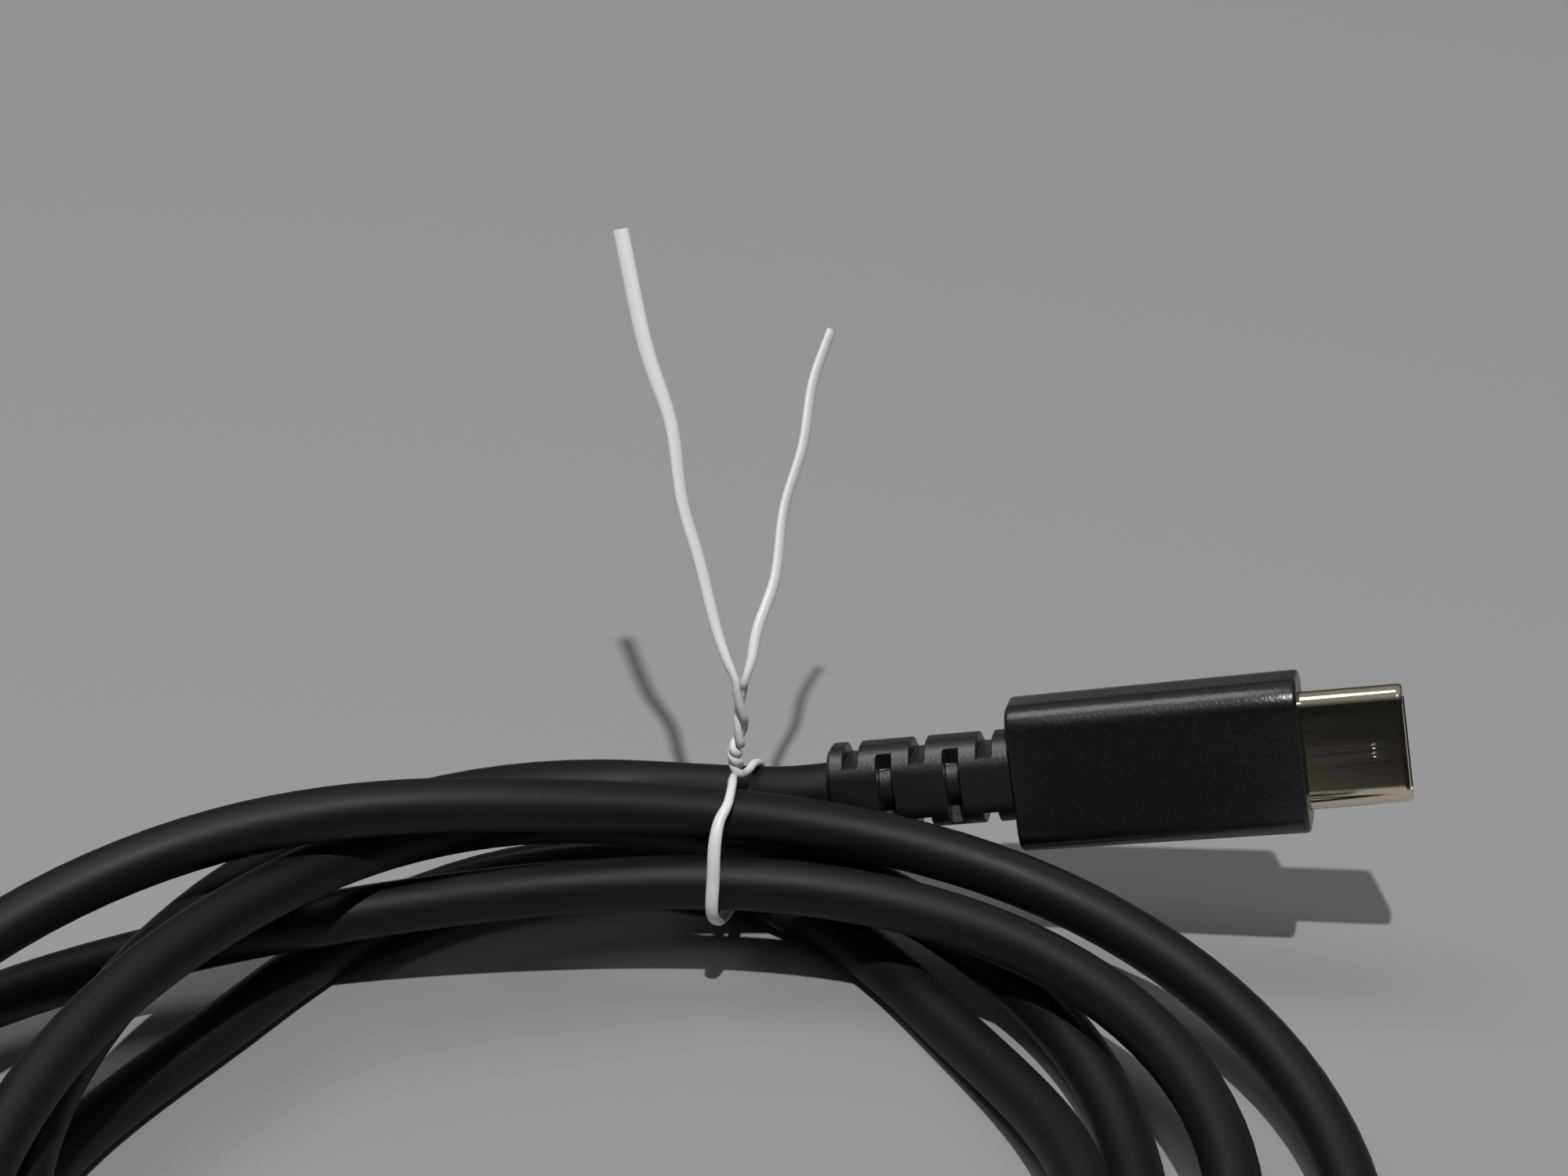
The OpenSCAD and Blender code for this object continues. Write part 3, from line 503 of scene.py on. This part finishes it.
# %% [markdown]
# ## The square plug's shell
# This shell is folded from sheet: its edges are tight, its seam runs along the underside, and two
# windows through both wide faces let the socket's springs snap in. The sheet is lofted as the oval one
# is, with tighter corners. Windows don't fit into rings, so they and the seam are cut with a boolean.

# %% Loft the folded shell
A_LIP = 0.12

a_rings = []
for x, by in [
    (a_front - A_SHELL_BACK, 0), (a_tip - A_LIP, 0), (a_tip, A_LIP), (a_tip - A_LIP / 2, A_SHELL_WALL),
    (a_front - A_SHELL_BACK, A_SHELL_WALL),
]:
    a_rings.append(rounded(A_SHELL[0] - 2 * by, A_SHELL[1] - 2 * by, FOLD_R - by, x))
a_shell = piece(loft_sheet(a_rings, IN_A_PLUG), "square_shell", ["usb_a_shell"])

# %% Cut its windows and its seam
WINDOW, WINDOW_BACK, WINDOW_Y = (2.2, 2.4, 9), 6.4, 2.9
SEAM, SEAM_BACK = (20, 0.08, 0.2), 8
cuts = [((a_tip - WINDOW_BACK, side * WINDOW_Y, 0), WINDOW) for side in (-1, 1)]
cuts.append(((a_tip - SEAM_BACK, 0, -A_SHELL[1] / 2), SEAM))
cuts_bm = bmesh.new()
for middle, size in cuts:
    where = Matrix.Translation(middle) @ Matrix.Diagonal((*size, 1))
    bmesh.ops.create_cube(cuts_bm, size=1, matrix=Matrix.Scale(MM, 4) @ IN_A_PLUG @ where)
cut_with(a_shell, cuts_bm)

# %% [markdown]
# ## The twist tie
# A steel wire in a thin white plastic jacket, flat like a ribbon. It goes once round the strands, and
# above them its two ends are twisted round each other, loosely at the top and tightly below, and stand
# up in two wavy legs. In the twist the ribbon is folded round, and away from it the ribbon is as wide
# as it was made. A bevelled curve could give a round wire but not that change. So each point of its
# route also says how wide and how thick the ribbon is there, and which way its flat side faces.

# %% Lay out the legs and the loop
LEG_1 = [(4.1, 51.8, 45.1), (5.8, 47.1, 38.6), (7.6, 44, 34.2), (8.4, 40.8, 29.8), (9.6, 38.4, 26.4)]
LEG_1 += [(10.7, 35.8, 22.8), (11.5, 34.3, 20.9)]
LEG_1_WIDTHS, LEG_1_ROLLS = (1.12, 1.10, 1.0, 0.95, 0.9, 0.8, 0.68), (0, 0, 20, 30, 25, 15, 0)
LEG_2 = [(13.15, 34.3, 20.9), (13.6, 35.9, 22.6), (14.8, 38.6, 25), (15.4, 42, 28.5), (16.7, 45, 31.7)]
LEG_2 += [(17.4, 48.1, 35), (18.7, 50.7, 37.8)]
LEG_2_WIDTHS, LEG_2_ROLLS = (0.68, 0.8, 0.85, 0.85, 0.9, 0.9, 0.9), (0, 20, 35, 50, 50, 50, 60)
LOOP = [(12.9, 34, 12), (13.3, 35, 11.9), (13.7, 36.1, 11.2), (13.75, 37.2, 9.9), (13.4, 37.3, 8)]
LOOP += [(12.8, 37.1, 6.3), (12.4, 35.8, 5.2), (12.3, 32.6, 5), (11.9, 28.6, 5), (11, 25.4, 5.4)]
LOOP += [(10.5, 23.5, 7.5), (10.6, 24, 10), (10.7, 24.9, 12.1), (11, 26, 13.3), (11.6, 27.2, 14)]
LOOP += [(11.9, 29.7, 14.2), (11.7, 31.4, 12.7)]
LOOP_WIDTHS = (0.58, 0.58, 0.6, 0.65, 0.8, 0.9, 0.9, 0.9, 0.9, 0.9, 0.9, 0.92, 0.9, 0.8, 0.68, 0.6, 0.58)
LEG_FACES, LOOP_MIDDLE = Vector((0, -0.85, 0.53)), Vector((12, 31, 9))
TIE_THICK = 0.56


def ribbon_point(place, faces, width, thick, roll=0.0):
    """A place, the way the flat side faces there, and the ribbon's width and thickness, as one row."""
    roll = math.radians(roll)
    faces = faces.normalized() * math.cos(roll) + Vector((1, 0, 0)) * math.sin(roll)
    return Vector((*place, *faces, width, thick))


def leg(points, widths, rolls):
    """A leg, whose flat side turns from the front towards the right by its rolls."""
    rows = zip(points, widths, rolls)
    return [ribbon_point(point, LEG_FACES, width, TIE_THICK, roll) for point, width, roll in rows]


leg_1 = leg(LEG_1, LEG_1_WIDTHS, LEG_1_ROLLS)
leg_2 = leg(LEG_2, LEG_2_WIDTHS, LEG_2_ROLLS)
around = [ribbon_point(p, Vector(p) - LOOP_MIDDLE, w, TIE_THICK) for p, w in zip(LOOP, LOOP_WIDTHS)]
print("tie:", len(leg_1), "and", len(leg_2), "points in its legs,", len(around), "round the strands")

# %% Twist the two ends together
# At every eighth of a turn, from the low end up: how high it has come, and how far its middle leans aside
KNOT_RISE = (0, 0.025, 0.05, 0.09, 0.124, 0.15, 0.174, 0.2, 0.223, 0.245, 0.265, 0.29, 0.32, 0.35, 0.39)
KNOT_RISE += (0.48, 0.57, 0.64, 0.744, 0.884, 1)
KNOT_LEAN = (0, -0.05, -0.1, -0.15, -0.2, -0.25, -0.28, -0.3, -0.3, -0.3, -0.3, -0.25, -0.15, -0.05, 0.05)
KNOT_LEAN += (0.1, 0.1, 0.08, 0.03, 0, 0)
KNOT_LOW, KNOT_HIGH = Vector((12.25, 33, 12.4)), Vector((12.4, 33.6, 19.8))
KNOT_HALF, KNOT_RIBBON = (0.26, 0.34), (0.62, 0.55)
LOOSE_ABOVE, LOOSER = 0.6, 0.8
TIE_BETWEEN = 5


def knot_strand(phase):
    """One strand of the twist, from its low end up. The phase is where it starts, in degrees round it."""
    strand = []
    for k, (rise, lean) in enumerate(zip(KNOT_RISE, KNOT_LEAN)):
        a = math.radians(phase - 45 * k)
        out = Vector((math.cos(a), math.sin(a), 0))
        opened = 1 + LOOSER * max(0, rise - LOOSE_ABOVE)
        aside = Vector((KNOT_HALF[0] * out.x * opened + lean, KNOT_HALF[1] * out.y, 0))
        strand.append(ribbon_point(KNOT_LOW.lerp(KNOT_HIGH, rise) + aside, out, *KNOT_RIBBON))
    return strand


tie_rows = smooth([*leg_1, *knot_strand(0)[::-1], *around, *knot_strand(180), *leg_2], TIE_BETWEEN)
tie_route = [Vector(row[:3]) for row in tie_rows]
print("tie:", len(tie_rows), "points in all")

# %% Sweep the tie's jacket and its wire
TIE_SIDES, TIE_WIRE_D, WIRE_OUT = 16, 0.3, 0.06


def tie_ring(i):
    """The ribbon's section at one point of its route."""
    way = (tie_route[min(i + 1, len(tie_route) - 1)] - tie_route[max(i - 1, 0)]).normalized()
    faces, (width, thick) = Vector(tie_rows[i][3:6]), tie_rows[i][6:8]
    faces = (faces - faces.dot(way) * way).normalized()
    along = way.cross(faces)
    ring = []
    for k in range(TIE_SIDES):
        a = 2 * math.pi * k / TIE_SIDES
        ring.append(tie_route[i] + along * width / 2 * math.cos(a) + faces * thick / 2 * math.sin(a))
    return ring


tie_bm = loft([tie_ring(i) for i in range(len(tie_rows))], Matrix.Identity(4))
tie = piece(tie_bm, "twist_tie", ["twist_tie_jacket"])
ends_out = [WIRE_OUT * (tie_route[i] - tie_route[k]).normalized() for i, k in ((0, 1), (-1, -2))]
wire_route = [tie_route[0] + ends_out[0], *tie_route, tie_route[-1] + ends_out[1]]
wire_mesh = tube_mesh([p * MM for p in wire_route], TIE_WIRE_D * MM, "twist_tie_wire")
tie_wire = bpy.data.objects.new("twist_tie_wire", wire_mesh)
bpy.context.scene.collection.objects.link(tie_wire)
declare(tie_wire, ["twist_tie_core"])

# %% [markdown]
# ## How a finish is made
# A shader is a sum. `Wire` lets a socket stand in a Python sum, and each operator adds the Math node
# that does it. `Finish.node` makes any other node: its settings first, then the values or links of its
# sockets. Nodes could be wired one by one, but then a finish of four lines would take forty.

# %% Write shader sums in Python


class Wire:
    """An output socket that can stand in a sum."""

    def __init__(self, finish, socket):
        self.finish, self.socket = finish, socket

    def _sum(self, operation, other):
        return self.finish.node("Math", {"operation": operation}, {0: self, 1: other})

    def __add__(self, other):
        return self._sum("ADD", other)

    def __mul__(self, other):
        return self._sum("MULTIPLY", other)

    __radd__, __rmul__ = __add__, __mul__


class Finish:
    """A material under construction."""

    def __init__(self, name):
        self.material = bpy.data.materials.new(name)
        self.material.use_nodes = True
        self.tree = self.material.node_tree
        self.tree.nodes.clear()
        self.place = self.node("TexCoord", out="Object")

    def node(self, kind, settings=None, sockets=None, out=0):
        """Adds a node and gives back one of its outputs, as a Wire."""
        made = self.tree.nodes.new("ShaderNode" + kind)
        for name, value in (settings or {}).items():
            if name == "stops":
                for stop, (at, shade) in zip(made.color_ramp.elements, value):
                    stop.position, stop.color = at, (shade, shade, shade, 1)
            else:
                setattr(made, name, value)
        for name, value in (sockets or {}).items():
            if isinstance(value, Wire):
                self.tree.links.new(value.socket, made.inputs[name])
            else:
                made.inputs[name].default_value = value
        return Wire(self, made.outputs[out])

    def noise(self, scale, detail, where=None):
        """Soft random patches, finer for a larger scale."""
        sockets = {"Vector": where or self.place, "Scale": scale, "Detail": detail}
        return self.node("TexNoise", {"noise_dimensions": "3D"}, sockets)

    def ramp(self, value, low, high):
        """0 below low, 1 above high and a slope between."""
        return self.node("ValToRGB", {"stops": [(low, 0), (high, 1)]}, {0: value})

    def blend(self, factor, first, second):
        """The first colour where the factor is 0 and the second where it is 1."""
        colours = {0: factor, 6: (*first, 1), 7: (*second, 1)}
        return self.node("Mix", {"data_type": "RGBA"}, colours, out=2)

    def bump(self, height, distance):
        """A surface that seems to rise by a distance in millimetres where the height is 1."""
        return self.node("Bump", {}, {"Height": height, "Distance": distance * MM, "Strength": 1.0})

    def surface(self, **sockets):
        """The finished material, from the Principled shader's sockets."""
        named = {name.replace("_", " "): value for name, value in sockets.items()}
        shader = self.node("BsdfPrincipled", {}, named)
        output = self.tree.nodes.new("ShaderNodeOutputMaterial")
        self.tree.links.new(shader.socket, output.inputs["Surface"])
        return self.material


# %% [markdown]
# ## The black plastics
# Black plastics differ in their gloss and grain far more than in their colour: the jacket is smooth and
# satin, the bodies carry a sparked grain that breaks the light up, and the reliefs are softer and
# duller. A flat black could be one number, but then it would look like a hole. So each has two close
# tones, a cloudy gloss and a fine bump.

# %% Mix the cable's jacket


def cable_jacket():
    """A smooth satin black."""
    made = Finish("cable jacket")
    cloud, fine = made.noise(90, 4), made.noise(2600, 2)
    return made.surface(
        Base_Color=made.blend(cloud, (0.005, 0.005, 0.006), (0.010, 0.010, 0.011)),
        Roughness=0.46 + cloud * 0.14,
        Specular_IOR_Level=0.28,
        Normal=made.bump(fine, 0.004),
    )


jacket_finish = cable_jacket()
print(jacket_finish.name, len(jacket_finish.node_tree.nodes), "nodes")

# %% Mix the mouldings' sparked plastic
PITS_LOW, PITS_HIGH, PIT_DEPTH = 0.35, 0.65, 0.006


def sparked_plastic(name, light, grain, rough, shine):
    """A black moulding whose mould was sparked, which leaves small pits of one depth."""
    made = Finish(name)
    cloud, pits = made.noise(160, 3), made.noise(grain, 2)
    pitted = made.ramp(pits, PITS_LOW, PITS_HIGH)
    return made.surface(
        Base_Color=made.blend(pitted, (0.006, 0.006, 0.007), light),
        Roughness=rough + cloud * 0.10,
        Specular_IOR_Level=shine,
        Normal=made.bump(pitted, PIT_DEPTH),
    )


body_finish = sparked_plastic("sparked plastic", (0.012, 0.012, 0.013), 3800, rough=0.22, shine=0.78)
relief_finish = sparked_plastic("soft plastic", (0.010, 0.010, 0.011), 3600, rough=0.34, shine=1.0)
print(body_finish.name, "and", relief_finish.name)

# %% [markdown]
# ## The metals' plating
# Plated sheet is nearly a mirror, with faint lines along the way that it was polished. An anisotropic
# shader could smear its highlights along such lines, but real fine lines do it in any viewer. So a
# noise is drawn out along the piece, and moves the gloss and the bump a little.

# %% Mix the metals
DRAWN_OUT = (1, 0.04, 0.04)


def plated(name, colour, worn, rough, turn):
    """Plated sheet with faint polishing lines along the piece."""
    made = Finish(name)
    sockets = {"Vector": made.place, "Rotation": turn, "Scale": DRAWN_OUT}
    lines = made.noise(220, 3, made.node("Mapping", {"vector_type": "TEXTURE"}, sockets))
    cloud = made.noise(350, 3)
    return made.surface(
        Base_Color=made.blend(made.ramp(cloud, 0.35, 0.75), colour, worn),
        Metallic=1.0,
        Roughness=rough + lines * 0.05,
        Normal=made.bump(lines, 0.0003),
    )


gold_finish = plated("pale gold plate", (0.84, 0.75, 0.60), (0.80, 0.70, 0.54), 0.045, C_TURN)
nickel_finish = plated("nickel plate", (0.72, 0.72, 0.71), (0.66, 0.66, 0.66), 0.20, (0, 0, 0))
print(gold_finish.name, "and", nickel_finish.name)

# %% [markdown]
# ## The other finishes
# The tie's plastic and everything inside the plugs are plain stuffs that show small or not at all. One
# recipe serves them all: two close tones in soft patches, and a fine uneven surface.

# %% Mix everything else


def speckled(name, first, second, scale, rough, metal=0.0, depth=0.004):
    """Two close tones in soft patches, with a fine uneven surface."""
    made = Finish(name)
    patches, fine = made.noise(scale, 3), made.noise(scale * 6, 2)
    return made.surface(
        Base_Color=made.blend(patches, first, second),
        Metallic=metal,
        Roughness=rough + patches * 0.1,
        Normal=made.bump(fine, depth),
    )


tie_finish = speckled("tie plastic", (0.84, 0.84, 0.83), (0.90, 0.90, 0.89), 700, 0.32, depth=0.01)
steel_finish = speckled("spring steel", (0.50, 0.50, 0.51), (0.60, 0.60, 0.61), 900, 0.25, metal=1.0)
contact_finish = speckled("contact gold", (0.78, 0.58, 0.28), (0.86, 0.66, 0.34), 900, 0.18, metal=1.0)
white_finish = speckled("white plastic", (0.74, 0.74, 0.72), (0.82, 0.82, 0.80), 500, 0.40)
black_finish = speckled("black plastic", (0.012, 0.012, 0.012), (0.022, 0.022, 0.022), 900, 0.40)
card_finish = speckled("circuit card", (0.02, 0.10, 0.04), (0.04, 0.16, 0.07), 1500, 0.35)
red_finish = speckled("red insulation", (0.40, 0.02, 0.02), (0.50, 0.04, 0.03), 900, 0.40)
green_finish = speckled("green insulation", (0.02, 0.22, 0.05), (0.04, 0.30, 0.08), 900, 0.40)
print(len(bpy.data.materials), "materials")

# %% [markdown]
# ## Who wears what
# The pieces made here and the CAD nodes that are kept as they are each get their finish from a list, so
# that none is forgotten.

# %% Put the finishes on
FINISH_OF = {
    c_shell: gold_finish, c_body: body_finish, a_body: body_finish, c_relief: relief_finish,
    a_relief: relief_finish, a_shell: nickel_finish, tie: tie_finish, cable: jacket_finish,
    tie_wire: steel_finish,
}
NODE_FINISH = {
    "usb_c_insulator": black_finish, "usb_c_contacts_upper": contact_finish,
    "usb_c_contacts_lower": contact_finish, "usb_c_latch_spring": steel_finish,
    "usb_c_ground_springs": steel_finish, "usb_c_card": card_finish, "usb_c_resistor": black_finish,
    "usb_c_shield_can": nickel_finish, "usb_c_inner_mould": white_finish, "usb_c_wires": red_finish,
    "usb_c_crimp_ring": contact_finish, "usb_c_jacket_end": jacket_finish,
    "usb_a_tongue": white_finish, "usb_a_contacts": contact_finish, "usb_a_shield_can": nickel_finish,
    "usb_a_inner_mould": white_finish, "usb_a_wires": green_finish, "usb_a_crimp_ring": contact_finish,
    "usb_a_jacket_end": jacket_finish,
}


def dress(made, finish):
    """Gives a piece one finish in place of any that it has."""
    made.data.materials.clear()
    made.data.materials.append(finish)


for made, finish in FINISH_OF.items():
    dress(made, finish)
for node, finish in NODE_FINISH.items():
    dress(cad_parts[node], finish)
print("dressed", len(FINISH_OF), "pieces and", len(NODE_FINISH), "CAD nodes")

# %% [markdown]
# ## The cable takes the CAD's place
# The cable is put on the part's one body in place of the CAD's coil and its two leads, and the
# pieces on its far end are gathered in a list.

declare(cable, ["cable_coil", "cable_lead_usb_c", "cable_lead_usb_a"])
on_far_end = [a_body, a_relief, a_shell]
on_far_end += [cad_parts[n] for n in NODE_FINISH if n.startswith("usb_a_")]
print("cord with", len(on_far_end), "pieces on its far end")

# %% [markdown]
# ## The floor
# A pale floor of dull paper. It is darker far away, beyond what the camera sees, because a shiny face
# shows what lies there, and a dim far floor keeps the plug's shell dark.

# %% Lay the floor
FLOOR_R, FLOOR_SIDES = 1.5, 96
PALE_MIDDLE, FADE_FROM, FADE_TO = (0, 0.15, 0), 0.40, 0.55
PALE, DIM, PAPER_ROUGH = (0.33, 0.33, 0.33), (0.04, 0.04, 0.04), 0.8

floor_bm = bmesh.new()
bmesh.ops.create_circle(floor_bm, cap_ends=True, segments=FLOOR_SIDES, radius=FLOOR_R)
floor_mesh = bpy.data.meshes.new("floor")
floor_bm.to_mesh(floor_mesh)
floor_bm.free()
floor = bpy.data.objects.new("floor", floor_mesh)
bpy.context.scene.collection.objects.link(floor)

paper = Finish("paper")
away = paper.node("VectorMath", {"operation": "SUBTRACT"}, {0: paper.place, 1: PALE_MIDDLE})
away = paper.node("VectorMath", {"operation": "LENGTH"}, {0: away}, out="Value")
far = paper.node("MapRange", {}, {"Value": away, "From Min": FADE_FROM, "From Max": FADE_TO})
floor_mesh.materials.append(paper.surface(Base_Color=paper.blend(far, PALE, DIM), Roughness=PAPER_ROUGH))
print("floor:", 2 * FLOOR_R, "m across")

# %% [markdown]
# ## The light
# A small key lamp high up in front casts clear shadows, and a wide soft lamp above puts the sheen on
# edges. One lamp could do for both, but a lamp small enough for the shadows makes hard, thin glints.
# The sky is dim at the horizon, so that the sides of shiny pieces stay dark as they do in a dim room.

# %% Hang the lamps
LAMP_DISTANCE = 1.2


def hang(name, way, size, power):
    """A round lamp at a distance in one direction from the origin, turned to it."""
    lamp = bpy.data.objects.new(name, bpy.data.lights.new(name, "AREA"))
    lamp.data.shape, lamp.data.size, lamp.data.energy = "DISK", size, power
    lamp.location = Vector(way).normalized() * LAMP_DISTANCE
    lamp.rotation_euler = Vector(way).to_track_quat("Z", "Y").to_euler()
    bpy.context.scene.collection.objects.link(lamp)


hang("key lamp", (0.03, -0.34, 1), size=0.03, power=9.4)
hang("soft lamp", (-0.33, 0.26, 0.9), size=0.6, power=2.7)
print(len(bpy.data.lights), "lamps")

# %% Paint the sky
SKY_MIDDLE, SKY_EDGE, SKY_SHADES = Vector((0, 0.3, 1)), (0.30, 0.98), (0.012, 0.26)
sky = bpy.data.worlds.new("sky")
bpy.context.scene.world = sky
sky.use_nodes = True
tree = sky.node_tree
towards = tree.nodes.new("ShaderNodeVectorMath")
towards.operation, towards.inputs[1].default_value = "DOT_PRODUCT", SKY_MIDDLE.normalized()
rise = tree.nodes.new("ShaderNodeMapRange")
rise.interpolation_type = "SMOOTHSTEP"
rise.inputs["From Min"].default_value, rise.inputs["From Max"].default_value = SKY_EDGE
rise.inputs["To Min"].default_value, rise.inputs["To Max"].default_value = SKY_SHADES
tree.links.new(tree.nodes.new("ShaderNodeTexCoord").outputs["Generated"], towards.inputs[0])
tree.links.new(towards.outputs["Value"], rise.inputs["Value"])
tree.links.new(rise.outputs["Result"], tree.nodes["Background"].inputs["Color"])
bpy.context.scene.view_settings.view_transform = "Standard"
print("sky from", SKY_SHADES[0], "at the horizon to", SKY_SHADES[1], "above")
